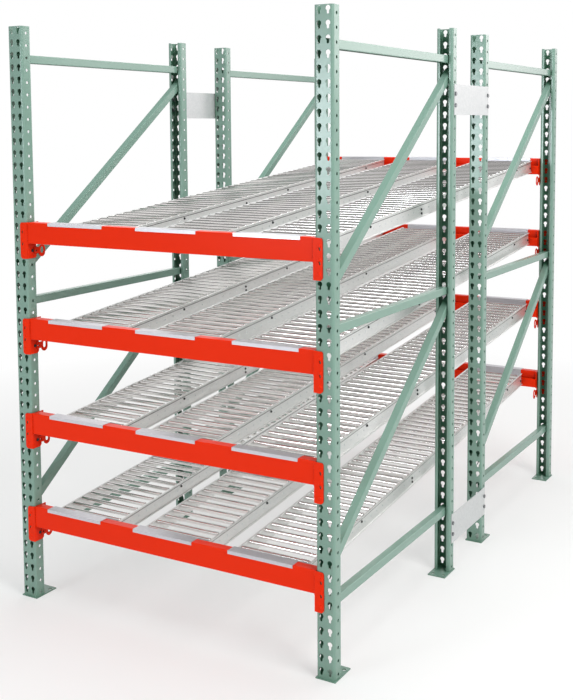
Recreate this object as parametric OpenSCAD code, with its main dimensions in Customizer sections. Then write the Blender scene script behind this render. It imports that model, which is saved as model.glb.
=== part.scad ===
// Carton flow rack: four upright frames in tandem carry four sloping levels
// of roller tracks, three to a level. X runs across the rack, Y from the
// discharge side to the loading side, and Z up from the floor.

/* [Rack] */
// Width over the outside of the posts
rack_w = 1524; // [1320:1:2440]
// Depth of one upright frame over its two posts
frame_d = 1168.4; // [1060:0.1:1220]
// Gap between the front frames and the rear frames
frame_gap = 355.6; // [200:0.1:460]
// Height of the posts from the floor
post_h = 2438.4; // [2330:0.1:3660]

/* [Posts] */
// Width of a post's punched face
post_w = 76.2; // [72:0.1:90]
// Depth of a post's side flanges
post_d = 54; // [46:0.1:60]
// Wall of a post
post_t = 2; // [1.6:0.1:3]
// Return lips on the open side, measured from the outside of the flange
post_lip = 17; // [14:0.1:19]
// Outside radius of a post's bends
post_bend_r = 10; // [6:0.1:12]
// Spacing of the hole rows up a post
hole_pitch = 50.8; // [48:0.1:60]
// Height of the lowest row of holes
first_hole_z = 22; // [18:0.1:40]
// Distance between the two columns of teardrop holes
teardrop_gap = 35.6; // [30:0.1:40]
// Radius of the wide top of a teardrop hole
teardrop_top_r = 9.5; // [8:0.1:11]
// Radius of the narrow foot of a teardrop hole
teardrop_foot_r = 4.8; // [4.2:0.1:6]
// Distance from the foot's centre up to the top's centre
teardrop_drop = 15.7; // [12:0.1:18]
// How much a teardrop's foot widens towards its top, on each side
teardrop_flare = 1.2; // [0.5:0.1:2]
// Radius of the round holes in a post's side flanges
side_hole_r = 6; // [5.2:0.1:8]

/* [Foot plates] */
// Width of a foot plate
foot_w = 82.6; // [80:0.1:100]
// Depth of a foot plate, from the post's face into the frame
foot_d = 122; // [100:0.1:160]
// Thickness of a foot plate
foot_t = 4.8; // [3:0.1:10]
// Radius of an anchor hole
anchor_hole_r = 7; // [5:0.1:9]
// Distance between the two anchor holes of a plate
anchor_gap = 50.8; // [48:0.1:60]
// Distance from the anchor holes to the plate's inner edge
anchor_edge = 22; // [15:0.1:30]

/* [Bracing] */
// Height of a brace's section
brace_h = 34; // [25:0.1:45]
// Width of a brace's section across the frame
brace_w = 31.8; // [25:0.1:40]
// Wall of a brace
brace_t = 1.9; // [1.5:0.1:3]
// Height of the centre of the lowest horizontal brace
low_brace_z = 282; // [250:1:320]
// Height of the centre of the middle horizontal brace
mid_brace_z = 1288; // [1200:1:1340]
// Height of the centre of the top horizontal brace
top_brace_z = 2305; // [2240:1:2310]
// How far a diagonal starts below the horizontal above it, at the rear post
diagonal_gap = 92; // [70:1:110]
// How much a diagonal falls from the rear post to the front post
diagonal_fall = 760; // [700:1:800]

/* [Row spacers] */
// Height of a row spacer
spacer_h = 133.4; // [100:0.1:160]
// Thickness of a row spacer
spacer_t = 3; // [2:0.1:6]
// How far a spacer runs past its bolts
spacer_end = 10; // [9:0.1:20]
// Hole row of the lower bolt of the low spacers, counted from zero
low_spacer_row = 3; // [1:1:3]
// Hole row of the lower bolt of the high spacers, counted from zero
high_spacer_row = 41; // [36:1:42]

/* [Beams] */
// Height of a beam
beam_h = 88.9; // [80:0.1:110]
// Depth of a beam under its step
beam_d = 69.9; // [60:0.1:80]
// Depth of a beam's top, in front of its step
beam_top_d = 44.5; // [38:0.1:50]
// Drop from a beam's top to its step
step_drop = 41.3; // [35:0.1:50]
// Wall of a beam
beam_t = 1.7; // [1.4:0.1:3]
// Outside radius of a beam's long edges
beam_r = 4; // [3:0.1:6]
// Height of the top of the lowest front beam
first_level_z = 406.4; // [380:0.1:430]
// Height from one level to the next
level_pitch = 406.4; // [390:0.1:420]
// How much higher the rear beam of a level is than its front beam
lane_rise = 203.2; // [150:0.1:260]

/* [Beam connectors] */
// Height of a connector
connector_h = 152.4; // [140:0.1:165]
// Thickness of a connector
connector_t = 4; // [3:0.1:6]
// Width of a connector's leg on the post's face
connector_w = 33; // [30:0.1:40]
// Radius of a connector's free corners
connector_r = 12; // [4:0.1:15]
// Gap between a connector's side leg and the side of the post
connector_gap = 0.8; // [0.5:0.1:2]
// Depth of a connector's side leg behind the post's face
connector_d = 66; // [55:0.1:68]
// Depth of the side leg's foot, under the beam
connector_foot_d = 50; // [46:0.1:56]
// Width of the slots in a connector's face
slot_w = 6; // [5:0.1:8]
// Height of the slots in a connector's face
slot_h = 14; // [10:0.1:16]
// Distance from the post's face back to the middle of a safety lock's ear
lock_reach = 81; // [77:0.1:88]
// Radius of a safety lock's ear
lock_ear_r = 19; // [16:0.1:21]
// Radius of the ends of the slot through a lock's ear
lock_eye_r = 8; // [6:0.1:9]
// Thickness of a safety lock
lock_t = 2.5; // [1.5:0.1:3]
// Radius of the hole through a safety lock and its connector
lock_hole_r = 4.5; // [3:0.1:5]
// Radial clearance of a stud in a teardrop's foot
stud_play = 0.5; // [0.4:0.1:0.9]
// Radius of a stud's head
stud_head_r = 7; // [6:0.1:8]
// Clearance between a stud's head and the post's wall
stud_clearance = 0.3; // [0.2:0.05:0.5]

/* [Roller tracks] */
// Number of tracks on a level
track_count = 3; // [2:1:3]
// Distance from one track to the next
track_pitch = 455; // [410:1:470]
// Clear width between a track's rails
track_w = 308; // [280:0.1:330]
// Shift of each level's tracks from the middle of the rack
track_shift = [-11, 13, 20, 29]; // [-40:1:40]
// How far the rails' top lies under the beam's top at the discharge end
front_drop = 29; // [26:0.1:36]
// How far the rails' top lies under the beam's top at the loading end
rear_drop = 13; // [11:0.1:26]
// Height of a rail
rail_h = 63.5; // [55:0.1:70]
// Width of a rail's flanges, with its web
rail_flange = 12; // [9:0.1:16]
// Wall of a rail
rail_t = 2; // [1.5:0.1:3]
// Outside radius of a rail's bends
rail_bend_r = 3; // [2.4:0.1:3.2]
// Gap between a track's ends and the beams
track_clearance = 3; // [2:0.1:5]

/* [Rollers] */
// Distance from one roller to the next
roller_pitch = 57.2; // [50:0.1:64]
// Outside diameter of a roller
roller_od = 17.5; // [15:0.1:19]
// Wall of a roller's tube
roller_wall = 1.2; // [0.8:0.1:2]
// Depth of a roller's axis under the rails' top
axle_drop = 5.8; // [5.7:0.1:7]
// Gap between a roller's tube and each rail
roller_end_gap = 3; // [1.5:0.1:6]
// Thickness of a roller's end plugs
plug_l = 9; // [5:0.1:14]
// Radius of a roller's journals
journal_r = 2.2; // [1.5:0.05:2.3]
// Running clearance of a journal in its rail
journal_clearance = 0.06; // [0.03:0.01:0.1]
// How far a journal stands out of its rail
journal_proud = 1.5; // [0.5:0.1:4]
// Least distance from a track's end to its first roller
roller_margin = 26; // [24:0.1:60]

/* [Ties and hangers] */
// Radius of the tie rods between a track's rails
tie_r = 4; // [3:0.1:5]
// Rollers before the first tie rod
first_tie = 8; // [6:1:9]
// Rollers from one tie rod to the next
tie_every = 16; // [10:1:16]
// Depth of the tie rods and of the ears' tops under the rails' top
tie_drop = 22; // [20:0.1:24]
// Rollers before the cross channel
channel_after = 17; // [15:1:18]
// Height of the cross channel and of the hangers' ears
ear_h = 36; // [30:0.1:38]
// Length of the ears along the rails
ear_l = 24; // [20:0.1:28]
// Thickness of the cross channel
channel_t = 2; // [1.5:0.1:3]
// Distance between a cross channel's two screws at each end
screw_gap = 18; // [14:0.1:20]
// Radius of the screw holes in the rails and ears
screw_hole_r = 2.9; // [2.4:0.1:3.2]
// Radius of the tapped bores in the tie rods' ends
tapped_r = 2.1; // [1.6:0.1:2.4]
// Depth of the tapped bores
tapped_l = 15; // [10:0.5:25]
// Width of a hanger
hanger_w = 286; // [260:0.1:300]
// Thickness of a hanger's sheet
hanger_t = 1.6; // [1:0.1:2]
// Depth of a hanger's lip over the beam's face
hanger_lip = 12; // [8:0.1:18]

/* [Hidden] */
$fn = 32;
LEVELS = 4;
LIVE_ROLLERS = 22;
CUT = 1;
half_w = rack_w / 2;
post_x = half_w - post_w / 2;
inner_x = half_w - post_w;
front_y = -frame_d - frame_gap / 2;
hole_rows = floor((post_h - first_hole_z - teardrop_drop - teardrop_top_r - 3) / hole_pitch);
flange_y = post_d / 2;
stud_r = teardrop_foot_r - stud_play;
stud_x = post_w / 2 - teardrop_gap / 2;
bolt_r = side_hole_r - 1;
slot_drop = stud_head_r + 4;
lock_y = connector_foot_d - 16;
lock_low_z = -connector_h + lock_ear_r + 2;
lock_high_z = -beam_h - 10 - lock_ear_r;
beam_x = inner_x - connector_gap - connector_t;
spacer_y = frame_gap / 2 + flange_y;
track_y0 = front_y + beam_d + track_clearance;
track_z0 = first_level_z - front_drop;
track_rise = lane_rise + front_drop - rear_drop;
track_tilt = atan(track_rise / (-2 * track_y0));
track_l = (-2 * track_y0 - rail_h * sin(track_tilt)) / cos(track_tilt);
roller_n = floor((track_l - 2 * roller_margin) / roller_pitch) + 1;
roller_s0 = (track_l - (roller_n - 1) * roller_pitch) / 2;
roller_l = track_w - 2 * roller_end_gap;
journal_x = track_w / 2 + rail_t + journal_proud;
tie_rollers = [for (n = [first_tie:tie_every:roller_n - 2]) n];
channel_s = between(channel_after);
ear_drop = tie_drop + ear_h / 2;
end_screw_s = ear_l / 2 + 4;

// Place along a track midway between roller n and the next one
function between(n) = roller_s0 + (n - 0.5) * roller_pitch;
// Middle of a track in X, by level and track counted from zero
function track_x(level, track) =
    (track - (track_count - 1) / 2) * track_pitch + track_shift[level];
// Height of a row of holes
function row_z(row) = first_hole_z + row * hole_pitch;
// Rows of holes that lie behind a connector hung with its top at height z
function stud_rows(z) = [
    for (row = [0:hole_rows])
        if (row_z(row) < z - stud_head_r - 4 && row_z(row) > z - connector_h + stud_head_r + 2) row
];

// Rectangle with round corners, centred in X and standing on Y = 0
module round_rect(w, d, r) {
    translate([-w / 2 + r, 0])
        square([w - 2 * r, d]);
    translate([-w / 2, r])
        square([w, d - 2 * r]);
    for (x = [-w / 2 + r, w / 2 - r], y = [r, d - r])
        translate([x, y])
            circle(r);
}

// Swings a profile drawn in Y and Z so that it extrudes along X, centred
module along_x(l) {
    translate([-l / 2, 0, 0])
        rotate([90, 0, 90])
            linear_extrude(height = l)
                children();
}

// Round bar along X, centred
module bar_x(r, l) {
    rotate([0, 90, 0])
        cylinder(h = l, r = r, center = true);
}

// Both sides of the rack, as a mirrored pair
module both_sides() {
    children();
    mirror([1, 0, 0])
        children();
}

// Keyhole: a round top that opens into a narrower foot with flared sides
module teardrop() {
    foot = teardrop_foot_r - 0.1;
    circle(teardrop_foot_r);
    translate([0, teardrop_drop])
        circle(teardrop_top_r);
    polygon([
        [-foot, 0],
        [foot, 0],
        [foot + teardrop_flare, teardrop_drop - teardrop_top_r / 2],
        [-foot - teardrop_flare, teardrop_drop - teardrop_top_r / 2]
    ]);
}

module post_section() {
    difference() {
        round_rect(post_w, post_d, post_bend_r);
        translate([0, post_t])
            round_rect(post_w - 2 * post_t, post_d - 2 * post_t, post_bend_r - post_t);
        translate([post_lip - post_w / 2, post_d - post_t - CUT])
            square([post_w - 2 * post_lip, post_t + 2 * CUT]);
    }
}

// Cold-formed post with its punched face on Y = 0 and its open side toward +Y
module post() {
    difference() {
        translate([0, 0, foot_t])
            linear_extrude(height = post_h - foot_t)
                post_section();
        for (row = [0:hole_rows]) {
            for (side = [-1, 1])
                translate([side * teardrop_gap / 2, post_t + CUT, row_z(row)])
                    rotate([90, 0, 0])
                        linear_extrude(height = post_t + 2 * CUT)
                            teardrop();
            translate([0, flange_y, row_z(row)])
                bar_x(side_hole_r, post_w + 2 * CUT);
        }
    }
}

// One post: side -1 or 1 in X, the frame's end -1 front or 1 rear, the face's Y
module post_at(side, end, y) {
    color([0.36, 0.52, 0.36])
        translate([side * post_x, y, 0])
            rotate([0, 0, end > 0 ? 180 : 0])
                post();
}

module front_left_post() {
    post_at(-1, -1, front_y);
}

module front_right_post() {
    post_at(1, -1, front_y);
}

module mid_left_post_1() {
    post_at(-1, 1, -frame_gap / 2);
}

module mid_right_post_1() {
    post_at(1, 1, -frame_gap / 2);
}

module mid_left_post_2() {
    post_at(-1, -1, frame_gap / 2);
}

module mid_right_post_2() {
    post_at(1, -1, frame_gap / 2);
}

module rear_left_post() {
    post_at(-1, 1, -front_y);
}

module rear_right_post() {
    post_at(1, 1, -front_y);
}

// Brace section, open downward, its middle on the origin
module brace_section() {
    translate([0, -brace_h / 2])
        difference() {
            round_rect(brace_w, brace_h, 3);
            translate([0, brace_t])
                round_rect(brace_w - 2 * brace_t, brace_h - 2 * brace_t, 3 - brace_t);
            translate([-brace_w / 2 + 5, -CUT])
                square([brace_w - 10, brace_t + 2 * CUT]);
        }
}

// One brace from post wall to post wall. Its top runs on to the walls, where
// it is welded; its sides stop short and leave room for the connector studs.
module brace(z0, z1) {
    run = frame_d - 2 * post_d;
    tilt = atan((z1 - z0) / run);
    long = frame_d - 2 * post_t;
    short = long - 14;
    intersection() {
        translate([0, 0, (z0 + z1) / 2])
            rotate([90 + tilt, 0, 0])
                translate([0, 0, -frame_d])
                    linear_extrude(height = 2 * frame_d)
                        brace_section();
        translate([-brace_w, -short / 2, 0])
            cube([2 * brace_w, short, post_h]);
    }
    intersection() {
        translate([0, 0, (z0 + z1) / 2])
            rotate([90 + tilt, 0, 0])
                translate([-brace_w / 2 + 4, brace_h / 2 - brace_t, -frame_d])
                    cube([brace_w - 8, brace_t, 2 * frame_d]);
        translate([-brace_w, -long / 2, 0])
            cube([2 * brace_w, long, post_h]);
    }
}

module bracing(side, y) {
    color([0.33, 0.50, 0.34])
        translate([side * post_x, y, 0]) {
            brace(low_brace_z, low_brace_z);
            brace(mid_brace_z, mid_brace_z);
            brace(top_brace_z, top_brace_z);
            for (z = [mid_brace_z, top_brace_z])
                brace(z - diagonal_gap - diagonal_fall, z - diagonal_gap);
        }
}

module left_front_bracing() {
    bracing(-1, -(frame_gap + frame_d) / 2);
}

module right_front_bracing() {
    bracing(1, -(frame_gap + frame_d) / 2);
}

module left_rear_bracing() {
    bracing(-1, (frame_gap + frame_d) / 2);
}

module right_rear_bracing() {
    bracing(1, (frame_gap + frame_d) / 2);
}

// Foot plate of a post whose face is on Y = 0
module foot_plate() {
    proud = (foot_w - post_w) / 2;
    difference() {
        translate([-foot_w / 2, -proud, 0])
            cube([foot_w, foot_d, foot_t]);
        for (side = [-1, 1])
            translate([side * anchor_gap / 2, foot_d - proud - anchor_edge, -CUT])
                cylinder(h = foot_t + 2 * CUT, r = anchor_hole_r);
    }
}

module foot_plates() {
    color([0.36, 0.52, 0.36])
        for (side = [-1, 1], end = [-1, 1]) {
            translate([side * post_x, end * -front_y, 0])
                rotate([0, 0, end > 0 ? 180 : 0])
                    foot_plate();
            translate([side * post_x, end * frame_gap / 2, 0])
                rotate([0, 0, end < 0 ? 180 : 0])
                    foot_plate();
        }
}

// Heights of the middle of the row spacers, between their two bolt rows
function spacer_z(row) = row_z(row) + hole_pitch / 2;

module row_spacers() {
    color([0.80, 0.82, 0.83])
        both_sides()
            for (row = [low_spacer_row, high_spacer_row])
                difference() {
                    translate([half_w, -spacer_y - spacer_end, spacer_z(row) - spacer_h / 2])
                        cube([spacer_t, 2 * (spacer_y + spacer_end), spacer_h]);
                    for (y = [-spacer_y, spacer_y], z = [row_z(row), row_z(row + 1)])
                        translate([half_w, y, z])
                            bar_x(side_hole_r, 4 * spacer_t);
                }
}

// Bolt with its head outside the spacer and its nut inside the post
module spacer_bolt() {
    translate([half_w - post_t - 12, 0, 0])
        rotate([0, 90, 0])
            cylinder(h = post_t + 12 + spacer_t + 1, r = bolt_r);
    translate([half_w + spacer_t, 0, 0])
        rotate([0, 90, 0])
            cylinder(h = 5, r = bolt_r * 1.8, $fn = 6);
    translate([half_w - post_t - 8, 0, 0])
        rotate([0, 90, 0])
            cylinder(h = 8, r = bolt_r * 1.8, $fn = 6);
}

module spacer_bolts() {
    color([0.72, 0.74, 0.75])
        both_sides()
            for (row = [low_spacer_row, high_spacer_row], y = [-spacer_y, spacer_y])
                for (z = [row_z(row), row_z(row + 1)])
                    translate([0, y, z])
                        spacer_bolt();
}

// Step beam section: Y = 0 at its outer face, Z = 0 at its top
module beam_section() {
    difference() {
        beam_outline(0, beam_r);
        beam_outline(beam_t, beam_r - beam_t);
    }
}

module beam_outline(inset, r) {
    translate([beam_top_d / 2, inset - beam_h])
        round_rect(beam_top_d - 2 * inset, beam_h - 2 * inset, r);
    translate([beam_d / 2, inset - beam_h])
        round_rect(beam_d - 2 * inset, beam_h - step_drop - 2 * inset, r);
}

module beam(level, end) {
    color([0.80, 0.24, 0.10])
        if (end < 0)
            translate([0, front_y, first_level_z + level * level_pitch])
                along_x(2 * beam_x)
                    beam_section();
        else
            translate([0, -front_y, first_level_z + lane_rise + level * level_pitch])
                mirror([0, 1, 0])
                    along_x(2 * beam_x)
                        beam_section();
}

module front_beam_1() {
    beam(0, -1);
}

module front_beam_2() {
    beam(1, -1);
}

module front_beam_3() {
    beam(2, -1);
}

module front_beam_4() {
    beam(3, -1);
}

module rear_beam_1() {
    beam(0, 1);
}

module rear_beam_2() {
    beam(1, 1);
}

module rear_beam_3() {
    beam(2, 1);
}

module rear_beam_4() {
    beam(3, 1);
}

// Each beam end, drawn as the front right one: X = 0 on the post's inner
// side, Y = 0 on the post's face, Z in the rack's own heights
module at_beam_ends() {
    both_sides()
        for (level = [0:LEVELS - 1]) {
            $top = first_level_z + level * level_pitch;
            translate([inner_x, front_y, 0])
                children();
        }
    both_sides()
        for (level = [0:LEVELS - 1]) {
            $top = first_level_z + lane_rise + level * level_pitch;
            translate([inner_x, -front_y, 0])
                mirror([0, 1, 0])
                    children();
        }
}

// Rivet stud that hangs a connector in a teardrop's foot
module stud() {
    rotate([-90, 0, 0]) {
        translate([0, 0, -connector_t - 2.2])
            cylinder(h = 2.2, r1 = stud_head_r - 2, r2 = stud_head_r);
        translate([0, 0, -connector_t])
            cylinder(h = connector_t + post_t + stud_clearance + 1, r = stud_r);
        translate([0, 0, post_t + stud_clearance])
            cylinder(h = 2, r = stud_head_r);
    }
}

// Angle that is welded to a beam's end and hangs on the post
module connector() {
    w = connector_w + connector_gap + connector_t;
    rows = stud_rows($top);
    difference() {
        union() {
            translate([-connector_gap - connector_t, 0, $top - connector_h])
                rotate([90, 0, 0])
                    linear_extrude(height = connector_t) {
                        square([w - connector_r, connector_h]);
                        translate([0, connector_r])
                            square([w, connector_h - 2 * connector_r]);
                        for (z = [connector_r, connector_h - connector_r])
                            translate([w - connector_r, z])
                                circle(connector_r);
                    }
            translate([-connector_gap - connector_t / 2, 0, $top])
                along_x(connector_t)
                    connector_side();
            for (row = rows)
                translate([stud_x, 0, row_z(row)])
                    stud();
        }
        for (row = [rows[1], rows[2]])
            translate([stud_x, CUT, row_z(row) - slot_drop - slot_h / 2])
                rotate([90, 0, 0])
                    linear_extrude(height = connector_t + 2 * CUT)
                        round_rect(slot_w, slot_h, slot_w / 2 - 0.01);
        lock_hole();
    }
}

// Side leg of a connector: Y = 0 on the post's face, Z = 0 at its top. It is
// as deep as the beam, and its foot under the beam is as deep as the post.
module connector_side() {
    translate([-connector_t, -beam_h - 3])
        square([connector_d + connector_t, beam_h + 3]);
    translate([-connector_t, -connector_h])
        square([connector_foot_d + connector_t - connector_r, connector_h - beam_h]);
    translate([-connector_t, connector_r - connector_h])
        square([connector_foot_d + connector_t, connector_h - connector_r - beam_h]);
    translate([connector_foot_d - connector_r, connector_r - connector_h])
        circle(connector_r);
}

module beam_connectors() {
    color([0.80, 0.24, 0.10])
        at_beam_ends()
            connector();
}

// Hole through a safety lock and the foot of the connector's side leg
module lock_hole() {
    translate([-connector_gap - connector_t, lock_y + 10, $top + lock_high_z - 4])
        bar_x(lock_hole_r, 2 * (connector_t + lock_t));
}

// Upright oval, from the centre of its lower end to that of its upper end
module lock_oval(low, high, r) {
    for (z = [low, high])
        translate([lock_reach, z])
            circle(r);
    translate([lock_reach - r, low])
        square([2 * r, high - low]);
}

// Safety lock: a sheet clip flat against the foot of the side leg. Its ear
// hangs out behind the post, with a slot for the finger.
module lock() {
    difference() {
        translate([-connector_gap - connector_t - lock_t / 2, 0, $top])
            along_x(lock_t)
                difference() {
                    union() {
                        lock_oval(lock_low_z, lock_high_z, lock_ear_r);
                        translate([lock_y, lock_low_z - 3])
                            square([lock_reach - lock_y, lock_high_z - lock_low_z + 14]);
                    }
                    lock_oval(lock_low_z + 4, lock_high_z + 2, lock_eye_r);
                }
        lock_hole();
    }
}

module beam_locks() {
    color([0.80, 0.24, 0.10])
        at_beam_ends()
            lock();
}

// Track frame: origin at the rails' top at the discharge end, Y along the
// track, Z square to it
module at_track(level, track) {
    translate([track_x(level, track), track_y0, track_z0 + level * level_pitch])
        rotate([track_tilt, 0, 0])
            children();
}

module all_tracks() {
    for (level = [0:LEVELS - 1], track = [0:track_count - 1])
        at_track(level, track)
            children();
}

// Rail section: X = 0 on the web's inner face, flanges toward +X
module rail_section() {
    difference() {
        translate([rail_flange / 2, -rail_h])
            round_rect(rail_flange, rail_h, rail_bend_r);
        translate([rail_t + (rail_flange - rail_t) / 2 + CUT, rail_t - rail_h])
            round_rect(rail_flange - rail_t + 2 * CUT, rail_h - 2 * rail_t, rail_bend_r - rail_t);
        translate([rail_flange - rail_bend_r, -rail_h - CUT])
            square([rail_bend_r + CUT, rail_h + 2 * CUT]);
    }
}

// Screw places along a track: distance along it and depth under the top
function screw_spots() = concat(
    [for (n = tie_rollers) [between(n), tie_drop]],
    [for (d = [-0.5, 0.5]) [channel_s, ear_drop + d * screw_gap]],
    [[end_screw_s, ear_drop], [track_l - end_screw_s, ear_drop]]
);

module rail() {
    difference() {
        translate([track_w / 2, track_l, 0])
            rotate([90, 0, 0])
                linear_extrude(height = track_l)
                    rail_section();
        for (n = [0:roller_n - 1])
            translate([track_w / 2, roller_s0 + n * roller_pitch, -axle_drop])
                bar_x(journal_r + journal_clearance, 6 * rail_t);
        for (spot = screw_spots())
            translate([track_w / 2, spot[0], -spot[1]])
                bar_x(screw_hole_r, 6 * rail_t);
    }
}

module rails(level) {
    color([0.78, 0.80, 0.82])
        for (track = [0:track_count - 1])
            at_track(level, track)
                both_sides()
                    rail();
}

module track_rails_1() {
    rails(0);
}

module track_rails_2() {
    rails(1);
}

module track_rails_3() {
    rails(2);
}

module track_rails_4() {
    rails(3);
}

// Roller: a closed tube with end plugs and a journal at each end
module roller() {
    r = roller_od / 2;
    e = roller_l / 2;
    rotate([0, 90, 0])
        rotate_extrude()
            polygon([
                [0, -journal_x], [journal_r, -journal_x], [journal_r, -e],
                [r - 0.8, -e], [r, -e + 0.8], [r, e - 0.8], [r - 0.8, e],
                [journal_r, e], [journal_r, journal_x], [0, journal_x],
                [0, e - plug_l], [r - roller_wall, e - plug_l],
                [r - roller_wall, plug_l - e], [0, plug_l - e]
            ]);
}

module roller_at(level, track, n) {
    at_track(level, track)
        translate([0, roller_s0 + (n - 1) * roller_pitch, -axle_drop])
            roller();
}

module fixed_rollers(level) {
    color([0.86, 0.88, 0.89])
        for (track = [0:track_count - 1], n = [1:roller_n])
            if (level > 0 || track != floor(track_count / 2) || n > LIVE_ROLLERS)
                roller_at(level, track, n);
}

module fixed_rollers_1() {
    fixed_rollers(0);
}

module fixed_rollers_2() {
    fixed_rollers(1);
}

module fixed_rollers_3() {
    fixed_rollers(2);
}

module fixed_rollers_4() {
    fixed_rollers(3);
}

// A roller of the lowest level's middle track that turns in its rails
module live_roller(n) {
    color([0.86, 0.88, 0.89])
        roller_at(0, floor(track_count / 2), n);
}

// Tie rod between the rails, tapped at both ends
module tie_rod() {
    difference() {
        bar_x(tie_r, track_w);
        both_sides()
            translate([track_w / 2, 0, 0])
                bar_x(tapped_r, 2 * tapped_l);
    }
}

// Pair of ears against the rails' webs from y0 to y1 along the track, with
// screw holes at distance s and at the given depths under the rails' top
module ears(y0, y1, s, drops, t) {
    both_sides()
        difference() {
            translate([track_w / 2 - t, y0, -ear_drop - ear_h / 2])
                cube([t, y1 - y0, ear_h]);
            for (drop = drops)
                translate([track_w / 2, s, -drop])
                    bar_x(screw_hole_r, 6 * t);
        }
}

// Cross channel that holds the two rails apart at mid length
module cross_channel() {
    y0 = channel_s - ear_l / 2;
    drops = [ear_drop - screw_gap / 2, ear_drop + screw_gap / 2];
    ears(y0, y0 + ear_l, channel_s, drops, channel_t);
    translate([-track_w / 2, y0, -ear_drop - ear_h / 2])
        cube([track_w, channel_t, ear_h]);
}

module track_ties() {
    color([0.72, 0.74, 0.76])
        all_tracks() {
            for (n = tie_rollers)
                translate([0, between(n), -tie_drop])
                    tie_rod();
            cross_channel();
        }
}

// Sheet of a hanger: over a beam's top, down its step and across the ends of
// the rails. Y = 0 on the beam's outer face, Z = 0 on the beam's top.
module hanger_sheet(rail_top) {
    t = hanger_t;
    low = rail_top - tie_drop - ear_h;
    along_x(hanger_w)
        polygon([
            [-t, t], [-t, -hanger_lip], [0, -hanger_lip], [0, 0],
            [beam_top_d, 0], [beam_top_d, -step_drop], [beam_d, -step_drop],
            [beam_d, low], [beam_d + t, low], [beam_d + t, t - step_drop],
            [beam_top_d + t, t - step_drop], [beam_top_d + t, t]
        ]);
    translate([-track_w / 2, beam_d, low])
        cube([track_w, t, min(ear_h - 3, t - step_drop - low)]);
}

module front_hanger(level, track) {
    translate([track_x(level, track), front_y, first_level_z + level * level_pitch])
        hanger_sheet(-front_drop);
    intersection() {
        at_track(level, track)
            ears(-ear_l, end_screw_s + ear_l / 2, end_screw_s, [ear_drop], hanger_t);
        translate([-rack_w, front_y + beam_d, 0])
            cube([2 * rack_w, frame_d, post_h]);
    }
}

module rear_hanger(level, track) {
    s = track_l - end_screw_s;
    z = first_level_z + lane_rise + level * level_pitch;
    translate([track_x(level, track), -front_y, z])
        mirror([0, 1, 0])
            hanger_sheet(-rear_drop);
    intersection() {
        at_track(level, track)
            ears(s - ear_l / 2, track_l + ear_l, s, [ear_drop], hanger_t);
        translate([-rack_w, -front_y - beam_d - frame_d, 0])
            cube([2 * rack_w, frame_d, post_h]);
    }
}

module front_hangers() {
    color([0.80, 0.82, 0.83])
        for (level = [0:LEVELS - 1], track = [0:track_count - 1])
            front_hanger(level, track);
}

module rear_hangers() {
    color([0.80, 0.82, 0.83])
        for (level = [0:LEVELS - 1], track = [0:track_count - 1])
            rear_hanger(level, track);
}

module live_roller_1() {
    live_roller(1);
}

module live_roller_2() {
    live_roller(2);
}

module live_roller_3() {
    live_roller(3);
}

module live_roller_4() {
    live_roller(4);
}

module live_roller_5() {
    live_roller(5);
}

module live_roller_6() {
    live_roller(6);
}

module live_roller_7() {
    live_roller(7);
}

module live_roller_8() {
    live_roller(8);
}

module live_roller_9() {
    live_roller(9);
}

module live_roller_10() {
    live_roller(10);
}

module live_roller_11() {
    live_roller(11);
}

module live_roller_12() {
    live_roller(12);
}

module live_roller_13() {
    live_roller(13);
}

module live_roller_14() {
    live_roller(14);
}

module live_roller_15() {
    live_roller(15);
}

module live_roller_16() {
    live_roller(16);
}

module live_roller_17() {
    live_roller(17);
}

module live_roller_18() {
    live_roller(18);
}

module live_roller_19() {
    live_roller(19);
}

module live_roller_20() {
    live_roller(20);
}

module live_roller_21() {
    live_roller(21);
}

module live_roller_22() {
    live_roller(22);
}

front_left_post();
front_right_post();
mid_left_post_1();
mid_right_post_1();
mid_left_post_2();
mid_right_post_2();
rear_left_post();
rear_right_post();
left_front_bracing();
right_front_bracing();
left_rear_bracing();
right_rear_bracing();
foot_plates();
row_spacers();
spacer_bolts();
beam_connectors();
beam_locks();
front_beam_1();
front_beam_2();
front_beam_3();
front_beam_4();
rear_beam_1();
rear_beam_2();
rear_beam_3();
rear_beam_4();
track_rails_1();
track_rails_2();
track_rails_3();
track_rails_4();
fixed_rollers_1();
fixed_rollers_2();
fixed_rollers_3();
fixed_rollers_4();
track_ties();
front_hangers();
rear_hangers();
live_roller_1();
live_roller_2();
live_roller_3();
live_roller_4();
live_roller_5();
live_roller_6();
live_roller_7();
live_roller_8();
live_roller_9();
live_roller_10();
live_roller_11();
live_roller_12();
live_roller_13();
live_roller_14();
live_roller_15();
live_roller_16();
live_roller_17();
live_roller_18();
live_roller_19();
live_roller_20();
live_roller_21();
live_roller_22();
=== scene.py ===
"""Carton flow rack with roller tracks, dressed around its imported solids."""
import math

import bmesh
import bpy
from mathutils import Matrix, Vector


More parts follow.
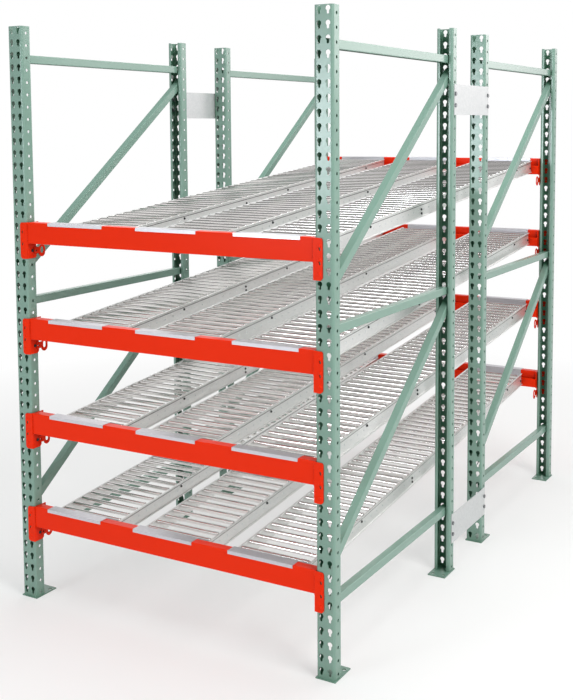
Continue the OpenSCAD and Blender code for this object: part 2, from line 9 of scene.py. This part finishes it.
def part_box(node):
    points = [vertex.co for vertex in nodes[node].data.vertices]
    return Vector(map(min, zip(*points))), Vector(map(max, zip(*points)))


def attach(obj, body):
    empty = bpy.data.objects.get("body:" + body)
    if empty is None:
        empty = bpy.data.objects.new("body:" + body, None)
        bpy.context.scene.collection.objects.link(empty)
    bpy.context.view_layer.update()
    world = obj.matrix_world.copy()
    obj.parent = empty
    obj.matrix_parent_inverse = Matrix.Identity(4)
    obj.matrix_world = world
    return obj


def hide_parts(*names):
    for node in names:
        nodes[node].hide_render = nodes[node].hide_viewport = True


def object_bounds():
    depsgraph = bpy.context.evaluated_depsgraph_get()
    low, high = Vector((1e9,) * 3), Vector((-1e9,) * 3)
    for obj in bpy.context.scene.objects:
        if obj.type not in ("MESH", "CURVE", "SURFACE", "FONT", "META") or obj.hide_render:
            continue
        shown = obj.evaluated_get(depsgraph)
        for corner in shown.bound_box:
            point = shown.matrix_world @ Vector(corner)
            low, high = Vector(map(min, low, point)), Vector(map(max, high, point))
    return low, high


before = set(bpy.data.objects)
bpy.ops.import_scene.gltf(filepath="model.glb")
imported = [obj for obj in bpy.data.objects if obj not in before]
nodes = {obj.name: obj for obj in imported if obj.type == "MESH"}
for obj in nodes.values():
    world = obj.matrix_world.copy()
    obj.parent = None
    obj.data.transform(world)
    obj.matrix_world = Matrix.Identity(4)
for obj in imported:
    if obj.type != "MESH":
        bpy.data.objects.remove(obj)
cad_low, cad_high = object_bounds()
MM = 0.001


# --- Studio -------------------------------------------------------------
# A pale floor that fades into a white backdrop, under broad soft lamps, and
# a camera at the eye height of someone standing off the right front corner.
FLOOR_RADIUS = 60
FADE_START, FADE_END = 2.0, 4.5
FADE_FROM = 0.45
ROOM_COLOUR = (0.97, 0.98, 1.0, 1)
ROOM_LEVEL = 0.32
COOL, WARM = (0.88, 0.95, 1.0), (1.0, 0.92, 0.94)
CAMERA_SPOT = (2.5193, -4.6895, 2.0159)
HEADING, DIP, BANK = 0.5276, 0.0863, -0.0068
SENSOR_WIDTH = 36
FOCAL_LENGTH, FRAME_HEIGHT = 1082.1, 700
LENS_SHIFT = -0.185
FAR_LIMIT = 200


def linear(hex_colour):
    """sRGB hex to the linear RGBA that Blender's sockets take."""
    channels = [int(hex_colour[i:i + 2], 16) / 255 for i in (1, 3, 5)]
    return [c / 12.92 if c <= 0.04045 else ((c + 0.055) / 1.055) ** 2.4 for c in channels] + [1]


def add_node(tree, kind, settings=None, links=None):
    """One shader or geometry node, with its settings, input values and incoming links."""
    node = tree.nodes.new(kind)
    for name, value in (settings or {}).items():
        if isinstance(name, int) or (name in node.inputs and not hasattr(node, name)):
            node.inputs[name].default_value = value
        else:
            setattr(node, name, value)
    for name, socket in (links or {}).items():
        tree.links.new(socket, node.inputs[name])
    return node


def new_material(name):
    """An empty material with its output node."""
    material = bpy.data.materials.new(name)
    material.use_nodes = True
    material.node_tree.nodes.clear()
    output = add_node(material.node_tree, "ShaderNodeOutputMaterial")
    return material, material.node_tree, output


def seen_directly(tree):
    """1 for rays that come from the camera, off gloss or through glass, else 0."""
    rays = add_node(tree, "ShaderNodeLightPath")
    mirrored = add_node(tree, "ShaderNodeMath", {"operation": "MAXIMUM"}, {
        0: rays.outputs["Is Glossy Ray"], 1: rays.outputs["Is Transmission Ray"]})
    return add_node(tree, "ShaderNodeMath", {"operation": "MAXIMUM"}, {
        0: rays.outputs["Is Camera Ray"], 1: mirrored.outputs[0]}).outputs[0]


scene = bpy.context.scene
scene.view_settings.view_transform = "Standard"

# Matt paint on a screed: it shows nothing but the rack's soft shadow, and runs
# out to plain white where it is seen from afar.
floor_paint, tree, output = new_material("pale_floor_paint")
place = add_node(tree, "ShaderNodeTexCoord")
reach = add_node(tree, "ShaderNodeVectorMath", {"operation": "LENGTH"}, {0: place.outputs["Object"]})
fade = add_node(tree, "ShaderNodeMapRange",
                {"From Min": FADE_START, "From Max": FADE_END, "To Min": FADE_FROM},
                {"Value": reach.outputs["Value"]})
fade = add_node(tree, "ShaderNodeMath", {"operation": "MULTIPLY"},
                {0: fade.outputs["Result"], 1: seen_directly(tree)})
matt = add_node(tree, "ShaderNodeBsdfPrincipled", {"Base Color": linear("#f8f8f6"), "Roughness": 0.9})
glow = add_node(tree, "ShaderNodeEmission", {"Color": linear("#ffffff"), "Strength": 1.0})
mix = add_node(tree, "ShaderNodeMixShader", {},
               {0: fade.outputs[0], 1: matt.outputs[0], 2: glow.outputs[0]})
tree.links.new(mix.outputs[0], output.inputs["Surface"])

bpy.ops.mesh.primitive_circle_add(vertices=96, radius=FLOOR_RADIUS, fill_type="NGON")
floor = bpy.context.object
floor.name = "floor"
floor.data.materials.append(floor_paint)

# The room lights the rack dimly from all round. Gloss mirrors it white up to
# 30 degrees, and a fifth as bright overhead, where a real hall is darker.
world = bpy.data.worlds.new("white_room")
scene.world = world
world.use_nodes = True
tree = world.node_tree
tree.nodes.clear()
room = add_node(tree, "ShaderNodeBackground", {"Color": ROOM_COLOUR, "Strength": ROOM_LEVEL})
place = add_node(tree, "ShaderNodeTexCoord")
upward = add_node(tree, "ShaderNodeSeparateXYZ", {}, {0: place.outputs["Generated"]})
ceiling = add_node(tree, "ShaderNodeMapRange",
                   {"From Min": 0.5, "From Max": 0.8, "To Min": 1.0, "To Max": 0.2},
                   {"Value": upward.outputs["Z"]})
rays = add_node(tree, "ShaderNodeLightPath")
dimmed = add_node(tree, "ShaderNodeMath", {"operation": "MAXIMUM"},
                  {0: ceiling.outputs["Result"], 1: rays.outputs["Is Camera Ray"]})
white = add_node(tree, "ShaderNodeBackground", {"Color": linear("#ffffff")},
                 {"Strength": dimmed.outputs[0]})
mix = add_node(tree, "ShaderNodeMixShader", {},
               {0: seen_directly(tree), 1: room.outputs[0], 2: white.outputs[0]})
add_node(tree, "ShaderNodeOutputWorld", {}, {"Surface": mix.outputs[0]})

middle = (cad_low + cad_high) / 2


def soft_lamp(name, place, width, watts, colour=(1, 1, 1)):
    """A square softbox aimed at the middle of the rack."""
    lamp = bpy.data.lights.new(name, "AREA")
    lamp.shape = "SQUARE"
    lamp.color = colour
    lamp.size = width
    lamp.energy = watts
    box = bpy.data.objects.new(name, lamp)
    scene.collection.objects.link(box)
    box.location = place
    box.rotation_euler = (middle - box.location).to_track_quat("-Z", "Y").to_euler()
    return box


soft_lamp("key_softbox", (5.0, -2.5, 4.5), width=3.0, watts=225)
soft_lamp("front_softbox", (-1.7, -6.0, 2.0), width=1.3, watts=70, colour=COOL)
soft_lamp("top_softbox", (0.3, 0.5, 6.0), width=4.0, watts=190).visible_glossy = False
soft_lamp("back_softbox", (-3.5, 4.5, 4.0), width=3.0, watts=30)
soft_lamp("gleam_card", (3.2, 4.8, 3.8), width=3.0, watts=75, colour=WARM).visible_diffuse = False

lens_camera = bpy.data.cameras.new("camera")
camera = bpy.data.objects.new("camera", lens_camera)
scene.collection.objects.link(camera)
scene.camera = camera
camera.location = CAMERA_SPOT
ahead = Vector((-math.sin(HEADING), math.cos(HEADING), 0))
across = Vector((math.cos(HEADING), math.sin(HEADING), 0))
up = Vector((0, 0, 1))
look = ahead * math.cos(DIP) - up * math.sin(DIP)
crown = up * math.cos(DIP) + ahead * math.sin(DIP)
side = across * math.cos(BANK) + crown * math.sin(BANK)
crown = crown * math.cos(BANK) - across * math.sin(BANK)
camera.rotation_euler = Matrix((side, crown, -look)).transposed().to_euler()
lens_camera.sensor_width = SENSOR_WIDTH
lens_camera.lens = SENSOR_WIDTH * FOCAL_LENGTH / FRAME_HEIGHT
lens_camera.shift_y = LENS_SHIFT
lens_camera.clip_end = FAR_LIMIT


# --- Uprights and foot plates --------------------------------------------
# Cold-rolled steel channels, punched in the strip and rolled to an open C,
# then powder coated a satin sage green together with their foot plates.
COLOUR_A, COLOUR_B, COLOUR_OUT = 6, 7, 2
RECESS_DEPTH = 120 * MM
PEEL_WIDTH, PEEL_HEIGHT = 2.5 * MM, 0.02 * MM
DRIFT_SCALE = 2.3


def powder_coat(name, base, worn, recess_shade, roughness, gloss):
    """Polyester powder coat, baked on: an even colour that drifts a little over half a metre,
    with a faint orange peel. Recesses get painted shade: ambient occlusion darkens the colour there."""
    material, tree, output = new_material(name)
    place = add_node(tree, "ShaderNodeTexCoord").outputs["Object"]
    drift = add_node(tree, "ShaderNodeTexNoise", {"Scale": DRIFT_SCALE, "Detail": 3.0},
                     {"Vector": place})
    tint = add_node(tree, "ShaderNodeMix",
                    {"data_type": "RGBA", COLOUR_A: linear(base), COLOUR_B: linear(worn)},
                    {"Factor": drift.outputs["Fac"]})
    # Painted shade: ambient occlusion mixes the coat towards the recess_shade colour wherever a
    # surface is enclosed.
    open_sky = add_node(tree, "ShaderNodeAmbientOcclusion", {"samples": 8, "Distance": RECESS_DEPTH})
    unshaded_share = add_node(tree, "ShaderNodeMapRange", {"From Min": 0.3, "From Max": 0.8},
                       {"Value": open_sky.outputs["AO"]})
    recess_shaded_colour = add_node(tree, "ShaderNodeMix", {"data_type": "RGBA", COLOUR_A: linear(recess_shade)},
                    {"Factor": unshaded_share.outputs["Result"], COLOUR_B: tint.outputs[COLOUR_OUT]})
    peel = add_node(tree, "ShaderNodeTexNoise", {"Scale": 1 / PEEL_WIDTH, "Detail": 1.0},
                    {"Vector": place})
    skin = add_node(tree, "ShaderNodeBump", {"Strength": 0.12, "Distance": PEEL_HEIGHT},
                    {"Height": peel.outputs["Fac"]})
    coat = add_node(tree, "ShaderNodeBsdfPrincipled",
                    {"Roughness": roughness, "Specular IOR Level": gloss},
                    {"Base Color": recess_shaded_colour.outputs[COLOUR_OUT], "Normal": skin.outputs[0]})
    tree.links.new(coat.outputs[0], output.inputs["Surface"])
    return material


def finish_nodes(material, names):
    """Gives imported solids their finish."""
    for name in names:
        nodes[name].data.materials.clear()
        nodes[name].data.materials.append(material)


# Satin: a soft, broad highlight on a grey green, and painted shade, a deeper green, in the punchings
# and recesses.
sage_powder_coat = powder_coat("sage_powder_coat", base="#7c9d8e", worn="#81a193", recess_shade="#44735a",
                               roughness=0.20, gloss=0.5)
finish_nodes(sage_powder_coat, [n for n in nodes if n.endswith("post") or "_post_" in n])
finish_nodes(sage_powder_coat, ["foot_plates"])


# --- Side frame bracing ---------------------------------------------------
# Light channels, open downward, welded between the posts of each side frame
# and coated with them in one piece.
finish_nodes(sage_powder_coat, [n for n in nodes if n.endswith("bracing")])


# --- Beams and connectors -------------------------------------------------
# Roll-formed step beams with hooked end connectors welded on, powder coated
# a bright safety orange; the spring locks clipped into them are coated alike.
# The coat is full and almost free of highlights, so the orange stays strong.
# Painted shade: in recesses the orange darkens to a deep red, by ambient occlusion.
orange_powder_coat = powder_coat("orange_powder_coat", base="#f02c04", worn="#f43108",
                                 recess_shade="#a81c02", roughness=0.30, gloss=0.1)
finish_nodes(orange_powder_coat, [n for n in nodes if "_beam_" in n])
finish_nodes(orange_powder_coat, ["beam_connectors", "beam_locks"])


# --- Connector welds -------------------------------------------------------
# A fillet bead of overlapping puddles, laid by hand where each beam meets its
# connector, down the front and along the bottom, and coated with them.
LEVELS = 4
LEVEL_PITCH = 406.4 * MM
FIRST_BEAM_TOP = 406.4 * MM
REAR_RISE = 203.2 * MM
BEAM_HEIGHT = 88.9 * MM
LEG_DEPTH = 66 * MM
PUDDLE_RADIUS, PUDDLE_SPACING = 2.4 * MM, 3.6 * MM
BEAD_INSET, BEAD_PROUD = 0.8 * MM, 0.6 * MM
BEAD_START, BEAD_STOP = 6 * MM, 4 * MM
beam_half_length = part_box("front_beam_1")[1].x
beam_face = abs(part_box("front_beam_1")[0].y)


def geometry_tree(name, inputs):
    """An empty Geometry Nodes tree with a geometry input and named values."""
    tree = bpy.data.node_groups.new(name, "GeometryNodeTree")
    tree.interface.new_socket("Geometry", in_out="INPUT", socket_type="NodeSocketGeometry")
    tree.interface.new_socket("Geometry", in_out="OUTPUT", socket_type="NodeSocketGeometry")
    for label, kind in inputs.items():
        tree.interface.new_socket(label, in_out="INPUT", socket_type=kind)
    return tree, add_node(tree, "NodeGroupInput"), add_node(tree, "NodeGroupOutput")


def finish_tree(tree, given, result, instances):
    """Ends a tree: its instances become one mesh in the tree's own finish."""
    solid = add_node(tree, "GeometryNodeRealizeInstances", {}, {"Geometry": instances})
    finished = add_node(tree, "GeometryNodeSetMaterial", {}, {
        "Geometry": solid.outputs["Geometry"], "Material": given.outputs["Finish"]})
    tree.links.new(finished.outputs["Geometry"], result.inputs["Geometry"])


def fitted_piece(name, mesh, body):
    """A finished mesh as a piece that rides on a body."""
    piece = bpy.data.objects.new(name, mesh)
    scene.collection.objects.link(piece)
    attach(piece, body)
    return piece


def grown_piece(name, seed, tree, values, body):
    """Runs a tree on a seed mesh and keeps the result as a plain mesh."""
    start = bpy.data.objects.new(name + "_seed", seed)
    scene.collection.objects.link(start)
    grow = start.modifiers.new("grow", "NODES")
    grow.node_group = tree
    for item in tree.interface.items_tree:
        if item.in_out == "INPUT" and item.name in values:
            grow[item.identifier] = values[item.name]
    start.update_tag()
    grown = start.evaluated_get(bpy.context.evaluated_depsgraph_get())
    mesh = bpy.data.meshes.new_from_object(grown)
    start.modifiers.clear()
    bpy.data.objects.remove(start)
    mesh.name = name
    return fitted_piece(name, mesh, body)


def connector_places():
    """Every connector's hand (left or right), end of the rack and beam top."""
    for hand in (-1, 1):
        for end in (-1, 1):
            for level in range(LEVELS):
                rise = REAR_RISE if end > 0 else 0
                yield hand, end, FIRST_BEAM_TOP + level * LEVEL_PITCH + rise


tree, given, result = geometry_tree("weld_bead", {
    "Puddle Radius": "NodeSocketFloat", "Puddle Spacing": "NodeSocketFloat",
    "Finish": "NodeSocketMaterial"})
path = add_node(tree, "GeometryNodeMeshToCurve", {}, {"Mesh": given.outputs["Geometry"]})
steps = add_node(tree, "GeometryNodeResampleCurve", {"mode": "LENGTH"}, {
    "Curve": path.outputs["Curve"], "Length": given.outputs["Puddle Spacing"]})
puddle = add_node(tree, "GeometryNodeMeshIcoSphere", {"Subdivisions": 2},
                  {"Radius": given.outputs["Puddle Radius"]})
laid = add_node(tree, "GeometryNodeInstanceOnPoints", {}, {
    "Points": steps.outputs["Curve"], "Instance": puddle.outputs["Mesh"]})
finish_tree(tree, given, result, laid.outputs["Instances"])

points, edges = [], []
for hand, end, top in connector_places():
    x = hand * (beam_half_length - BEAD_INSET)
    face = beam_face + BEAD_PROUD
    under = top - BEAM_HEIGHT - BEAD_PROUD
    first = len(points)
    points += [(x, end * face, top - BEAD_START),
               (x, end * face, under),
               (x, end * (face - LEG_DEPTH + BEAD_STOP), under)]
    edges += [(first, first + 1), (first + 1, first + 2)]
seams = bpy.data.meshes.new("weld_paths")
seams.from_pydata(points, edges, [])
grown_piece("connector_welds", seams, tree, {
    "Puddle Radius": PUDDLE_RADIUS, "Puddle Spacing": PUDDLE_SPACING,
    "Finish": orange_powder_coat}, "rack")


# --- Punched connectors ----------------------------------------------------
# The front leg of each connector, with its two slots opened to the full size
# of the punch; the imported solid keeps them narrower, clear of the studs.
STUD_LINE = 706.1 * MM
FIRST_HOLE = 22 * MM
HOLE_PITCH = 50.8 * MM
SLOT_DROP = 18 * MM
SLOT_HALF_WIDTH, SLOT_HALF_HEIGHT = 3 * MM, 7 * MM
SLOT_WIDENED, SLOT_HEIGHTENED = 0.8, 0.3
LEG_FACE = 1350.2 * MM
LEG_THICKNESS = 4 * MM
SLACK = 0.1 * MM
WELD_GAP = 0.005 * MM

shell = bmesh.new()
shell.from_mesh(nodes["beam_connectors"].data)
bmesh.ops.remove_doubles(shell, verts=shell.verts, dist=WELD_GAP)
for corner in shell.verts:
    off_line = abs(corner.co.x) - STUD_LINE
    off_slot = corner.co.z - FIRST_HOLE + SLOT_DROP
    off_slot = (off_slot + HOLE_PITCH / 2) % HOLE_PITCH - HOLE_PITCH / 2
    in_leg = LEG_FACE - LEG_THICKNESS - 2 * SLACK < abs(corner.co.y) < LEG_FACE + 2 * SLACK
    in_width = abs(off_line) < SLOT_HALF_WIDTH + SLACK
    in_height = abs(off_slot) < SLOT_HALF_HEIGHT + SLACK
    if in_leg and in_width and in_height:
        corner.co.x += math.copysign(off_line * SLOT_WIDENED, corner.co.x)
        corner.co.z += off_slot * SLOT_HEIGHTENED
punched = bpy.data.meshes.new("punched_connectors")
shell.to_mesh(punched)
shell.free()
punched.materials.clear()
punched.materials.append(orange_powder_coat)
connectors = fitted_piece("punched_connectors", punched, "rack")
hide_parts("beam_connectors")


# --- Rails, hangers, spacers ----------------------------------------------
# Roll-formed rails, bent hangers and flat row spacers of hot-dip galvanised
# sheet and plate, left bright from the mill, and the spacers' zinc plated bolts.
SMOOTHER, ROUGHER = 0.06, 0.08


def zinc_coat(name, light, dark, roughness, crystal, metallic):
    """Zinc on steel: pale metal in faint crystals, each a little lighter or duller than the
    next, so that broad faces shimmer softly instead of mirroring."""
    material, tree, output = new_material(name)
    place = add_node(tree, "ShaderNodeTexCoord")
    crystals = add_node(tree, "ShaderNodeTexVoronoi", {"Scale": 1 / crystal},
                        {"Vector": place.outputs["Object"]})
    shade = add_node(tree, "ShaderNodeSeparateColor", {}, {0: crystals.outputs["Color"]})
    tint = add_node(tree, "ShaderNodeMix",
                    {"data_type": "RGBA", COLOUR_A: linear(light), COLOUR_B: linear(dark)},
                    {"Factor": shade.outputs[0]})
    gloss = add_node(tree, "ShaderNodeMapRange",
                     {"To Min": roughness - SMOOTHER, "To Max": roughness + ROUGHER},
                     {"Value": shade.outputs[1]})
    metal = add_node(tree, "ShaderNodeBsdfPrincipled", {"Metallic": metallic},
                     {"Base Color": tint.outputs[COLOUR_OUT], "Roughness": gloss.outputs[0]})
    tree.links.new(metal.outputs[0], output.inputs["Surface"])
    return material


# Bent sheet: a cool light grey with blurred reflections and 5 mm spangle.
galvanised_sheet = zinc_coat("galvanised_sheet", light="#cbcacf", dark="#c5c4c9",
                             roughness=0.36, crystal=5 * MM, metallic=0.8)
finish_nodes(galvanised_sheet, ["front_hangers", "rear_hangers"])

# Thick plate takes a heavier, duller coat: nearly white, with hardly a reflection.
bright_plate = zinc_coat("bright_galvanised_plate", light="#d2d4d4", dark="#cacdcd",
                         roughness=0.45, crystal=8 * MM, metallic=0.3)
finish_nodes(bright_plate, ["row_spacers"])

# Strip rolled smooth: bright and pale, taking a blurred white from the room.
galvanised_rail = zinc_coat("galvanised_rail", light="#e4e4e2", dark="#dadbd9",
                            roughness=0.36, crystal=4 * MM, metallic=0.6)
finish_nodes(galvanised_rail, [n for n in nodes if n.startswith("track_rails")] + ["track_ties"])

# Bolts plated in a barrel and handled since: mid grey, darker than the spacers.
# Their grain is finer than 1 mm, and is drawn at 3 mm so that it shows.
dull_bolt_zinc = zinc_coat("dull_bolt_zinc", light="#85888b", dark="#75787a",
                           roughness=0.38, crystal=3 * MM, metallic=1.0)
finish_nodes(dull_bolt_zinc, ["spacer_bolts"])


# --- Track screws ----------------------------------------------------------
# Black self-tapping screws with hexagon washer heads, through both rails into
# the tie rods' ends, the cross channels and the hangers' ears.
BLOOM_WIDTH = 3 * MM
TRACKS = 3
TRACK_TILT = math.radians(4.91964)
TRACK_START = Vector((0, -1273.3 * MM, 377.4 * MM))
TRACK_LENGTH = 2550.55 * MM
TRACK_PITCH = 455 * MM
TRACK_SHIFT = [-11 * MM, 13 * MM, 20 * MM, 29 * MM]
RAIL_OUTSIDE = 156 * MM
FIRST_ROLLER = 45.4753 * MM
ROLLER_PITCH = 57.2 * MM
TIE_RODS, TIE_DROP = (7.5, 23.5, 39.5), 22 * MM
CHANNEL, CHANNEL_DROPS = 16.5, (31 * MM, 49 * MM)
EAR_SETBACK, EAR_DROP = 16 * MM, 40 * MM
WASHER_RADIUS, WASHER_THICKNESS = 5.6 * MM, 1.2 * MM
HEXAGON_RADIUS, SCREW_HEAD_HEIGHT = 4.2 * MM, 3.6 * MM

# Black oxide, oiled: almost black, with a soft grey gleam that is blotched
# where the oil has dried.
black_oxide, tree, output = new_material("black_oxide_steel")
place = add_node(tree, "ShaderNodeTexCoord")
bloom = add_node(tree, "ShaderNodeTexNoise", {"Scale": 1 / BLOOM_WIDTH, "Detail": 2.0},
                 {"Vector": place.outputs["Object"]})
gloss = add_node(tree, "ShaderNodeMapRange", {"To Min": 0.32, "To Max": 0.5},
                 {"Value": bloom.outputs["Fac"]})
steel = add_node(tree, "ShaderNodeBsdfPrincipled", {"Base Color": linear("#26282a"), "Metallic": 0.6},
                 {"Roughness": gloss.outputs[0]})
tree.links.new(steel.outputs[0], output.inputs["Surface"])


def rail_places():
    """Level, track and hand (left or right) of every rail."""
    for level in range(LEVELS):
        for track in range(TRACKS):
            for hand in (-1, 1):
                yield level, track, hand


def on_track(level, track, x, along, drop):
    """A point of one track: across it, along its rails and down from their top."""
    sideways = (track - 1) * TRACK_PITCH + TRACK_SHIFT[level]
    start = TRACK_START + Vector((sideways, 0, level * LEVEL_PITCH))
    return start + Vector((x, along * math.cos(TRACK_TILT) + drop * math.sin(TRACK_TILT),
                           along * math.sin(TRACK_TILT) - drop * math.cos(TRACK_TILT)))


def drive_on_points(tree, given, result, head):
    """Ends a tree: the head stands on every point, along the point's outward direction."""
    outward = add_node(tree, "GeometryNodeInputNamedAttribute",
                       {"data_type": "FLOAT_VECTOR", "Name": "outward"})
    turned = add_node(tree, "FunctionNodeAlignRotationToVector", {"axis": "Z"},
                      {"Vector": outward.outputs["Attribute"]})
    driven = add_node(tree, "GeometryNodeInstanceOnPoints", {}, {
        "Points": given.outputs["Geometry"], "Instance": head,
        "Rotation": turned.outputs["Rotation"]})
    finish_tree(tree, given, result, driven.outputs["Instances"])


def seed_points(name, points, directions):
    """Loose points that carry the outward direction of the head each one gets."""
    seeds = bpy.data.meshes.new(name)
    seeds.from_pydata(points, [], [])
    outward = seeds.attributes.new("outward", "FLOAT_VECTOR", "POINT")
    outward.data.foreach_set("vector", directions)
    return seeds


tree, given, result = geometry_tree("washer_screw", {
    "Washer Radius": "NodeSocketFloat", "Washer Thickness": "NodeSocketFloat",
    "Hexagon Radius": "NodeSocketFloat", "Head Height": "NodeSocketFloat",
    "Finish": "NodeSocketMaterial"})
washer = add_node(tree, "GeometryNodeMeshCylinder", {"Vertices": 12}, {
    "Radius": given.outputs["Washer Radius"], "Depth": given.outputs["Washer Thickness"]})
head = add_node(tree, "GeometryNodeMeshCylinder", {"Vertices": 6}, {
    "Radius": given.outputs["Hexagon Radius"], "Depth": given.outputs["Head Height"]})
half_height = add_node(tree, "ShaderNodeMath", {"operation": "MULTIPLY", 1: 0.5},
                       {0: given.outputs["Head Height"]})
lift = add_node(tree, "ShaderNodeCombineXYZ", {}, {"Z": half_height.outputs[0]})
raised = add_node(tree, "GeometryNodeTransform", {},
                  {"Geometry": head.outputs["Mesh"], "Translation": lift.outputs[0]})
screw = add_node(tree, "GeometryNodeJoinGeometry")
tree.links.new(raised.outputs["Geometry"], screw.inputs["Geometry"])
tree.links.new(washer.outputs["Mesh"], screw.inputs["Geometry"])
drive_on_points(tree, given, result, screw.outputs["Geometry"])

spots = [(FIRST_ROLLER + rod * ROLLER_PITCH, TIE_DROP) for rod in TIE_RODS]
spots += [(FIRST_ROLLER + CHANNEL * ROLLER_PITCH, drop) for drop in CHANNEL_DROPS]
spots += [(EAR_SETBACK, EAR_DROP), (TRACK_LENGTH - EAR_SETBACK, EAR_DROP)]
points, directions = [], []
for level, track, hand in rail_places():
    for along, drop in spots:
        x = hand * (RAIL_OUTSIDE + WASHER_THICKNESS / 2)
        points.append(on_track(level, track, x, along, drop))
        directions += [hand, 0, 0]
grown_piece("track_screws", seed_points("screw_spots", points, directions), tree, {
    "Washer Radius": WASHER_RADIUS, "Washer Thickness": WASHER_THICKNESS,
    "Hexagon Radius": HEXAGON_RADIUS, "Head Height": SCREW_HEAD_HEIGHT,
    "Finish": black_oxide}, "rack")


# --- Rail hems ----------------------------------------------------------------
# The top edge of each rail is folded back flat against the outside of its web,
# so that no raw edge faces the cartons or the hands of whoever loads them. The
# fold's sloping lower edge is black as painted shade: a dark line for the shadow under the fold.
HEM_OUTLINE = [(0, 0.3), (0.7, 0.2), (1.1, 0.8), (1.1, 11.2), (0.3, 14.0), (0, 14.1)]
HEM_SIDES = len(HEM_OUTLINE)
HEM_FACES = HEM_SIDES + 2
SHADOW_LINE_FACE = 3
HEM_END = 1 * MM

corners, faces = [], []
for level, track, hand in rail_places():
    first = len(corners)
    for along in (HEM_END, TRACK_LENGTH - HEM_END):
        corners += [on_track(level, track, hand * (RAIL_OUTSIDE + out * MM), along, drop * MM)
                    for out, drop in HEM_OUTLINE]
    far = first + HEM_SIDES
    for k in range(HEM_SIDES):
        after = (k + 1) % HEM_SIDES
        faces.append((first + k, first + after, far + after, far + k))
    faces += [tuple(range(far - 1, first - 1, -1)), tuple(range(far, far + HEM_SIDES))]
folded = bpy.data.meshes.new("rail_hems")
folded.from_pydata(corners, [], faces)
shell = bmesh.new()
shell.from_mesh(folded)
bmesh.ops.recalc_face_normals(shell, faces=shell.faces)
shell.to_mesh(folded)
shell.free()
folded.materials.append(galvanised_rail)
# The black finish on the hem's sloping lower edge is painted shade for the shadow line under the
# fold.
folded.materials.append(black_oxide)
for face in folded.polygons:
    if face.index % HEM_FACES == SHADOW_LINE_FACE:
        face.material_index = 1
fitted_piece("rail_hems", folded, "rack")


# --- Rail rivets -----------------------------------------------------------
# Small flat zinc rivets along the middle of every rail's web, one under each
# roller, that hold the strip of axle seats pressed into the inside of the rail.
# They are plated bright: a pale dot with a hard glint. The plating's grain is
# far finer than 1 mm, and is drawn at 3 mm so that heads differ from each other.
ROLLERS_PER_TRACK = 44
RIVET_DROP = 33 * MM
RIVET_RADIUS, RIVET_CROWN, RIVET_HEIGHT = 4.4 * MM, 3.0 * MM, 0.9 * MM

zinc_plate = zinc_coat("zinc_plate", light="#dfe1e2", dark="#d0d3d4",
                       roughness=0.28, crystal=3 * MM, metallic=1.0)

tree, given, result = geometry_tree("flat_rivet", {
    "Head Radius": "NodeSocketFloat", "Crown Radius": "NodeSocketFloat",
    "Head Height": "NodeSocketFloat", "Finish": "NodeSocketMaterial"})
rivet = add_node(tree, "GeometryNodeMeshCone", {"Vertices": 10}, {
    "Radius Bottom": given.outputs["Head Radius"], "Radius Top": given.outputs["Crown Radius"],
    "Depth": given.outputs["Head Height"]})
drive_on_points(tree, given, result, rivet.outputs["Mesh"])

points, directions = [], []
for level, track, hand in rail_places():
    for roller in range(ROLLERS_PER_TRACK):
        along = FIRST_ROLLER + roller * ROLLER_PITCH
        points.append(on_track(level, track, hand * RAIL_OUTSIDE, along, RIVET_DROP))
        directions += [hand, 0, 0]
grown_piece("rail_rivets", seed_points("rivet_spots", points, directions), tree, {
    "Head Radius": RIVET_RADIUS, "Crown Radius": RIVET_CROWN, "Head Height": RIVET_HEIGHT,
    "Finish": zinc_plate}, "rack")


# --- Lock pins ---------------------------------------------------------------
# A steel pin in black oxide, headed over through the foot of each connector's side leg,
# on which the safety lock is held until it is pushed home. Its dark head is also painted shade,
# standing for the dark inside the lock's hole.
PIN_SETBACK = 26 * MM
PIN_DROP = 31 * MM
PIN_RADIUS, PIN_CROWN, PIN_HEIGHT = 7 * MM, 6 * MM, 2.4 * MM

points, directions = [], []
for hand, end, top in connector_places():
    points.append((hand * beam_half_length, end * (beam_face - PIN_SETBACK),
                   top - BEAM_HEIGHT - PIN_DROP))
    directions += [-hand, 0, 0]
grown_piece("lock_pins", seed_points("pin_spots", points, directions), tree, {
    "Head Radius": PIN_RADIUS, "Crown Radius": PIN_CROWN, "Head Height": PIN_HEIGHT,
    "Finish": black_oxide}, "rack")


# --- Rollers ---------------------------------------------------------------
# Thin drawn steel tubes, bright zinc plated, with pressed-in end plugs. They
# shine like worn mirrors, with light and dull streaks along the tube. The die's
# own marks are hair-fine, and are drawn 20 mm wide so that they show.
STREAK_LENGTH, STREAK_WIDTH = 300 * MM, 20 * MM

drawn_tube, tree, output = new_material("bright_zinc_tube")
place = add_node(tree, "ShaderNodeTexCoord")
lengthwise = add_node(tree, "ShaderNodeMapping",
                      {"Scale": (1 / STREAK_LENGTH, 1 / STREAK_WIDTH, 1 / STREAK_WIDTH)},
                      {"Vector": place.outputs["Object"]})
streaks = add_node(tree, "ShaderNodeTexNoise", {"Scale": 1.0, "Detail": 2.0},
                   {"Vector": lengthwise.outputs[0]})
tint = add_node(tree, "ShaderNodeMix",
                {"data_type": "RGBA", COLOUR_A: linear("#ece9e7"), COLOUR_B: linear("#d8d5d3")},
                {"Factor": streaks.outputs["Fac"]})
gloss = add_node(tree, "ShaderNodeMapRange",
                 {"From Min": 0.3, "From Max": 0.7, "To Min": 0.10, "To Max": 0.18},
                 {"Value": streaks.outputs["Fac"]})
metal = add_node(tree, "ShaderNodeBsdfPrincipled", {"Metallic": 1.0},
                 {"Base Color": tint.outputs[COLOUR_OUT], "Roughness": gloss.outputs[0]})
tree.links.new(metal.outputs[0], output.inputs["Surface"])
finish_nodes(drawn_tube, [n for n in nodes if "roller" in n])
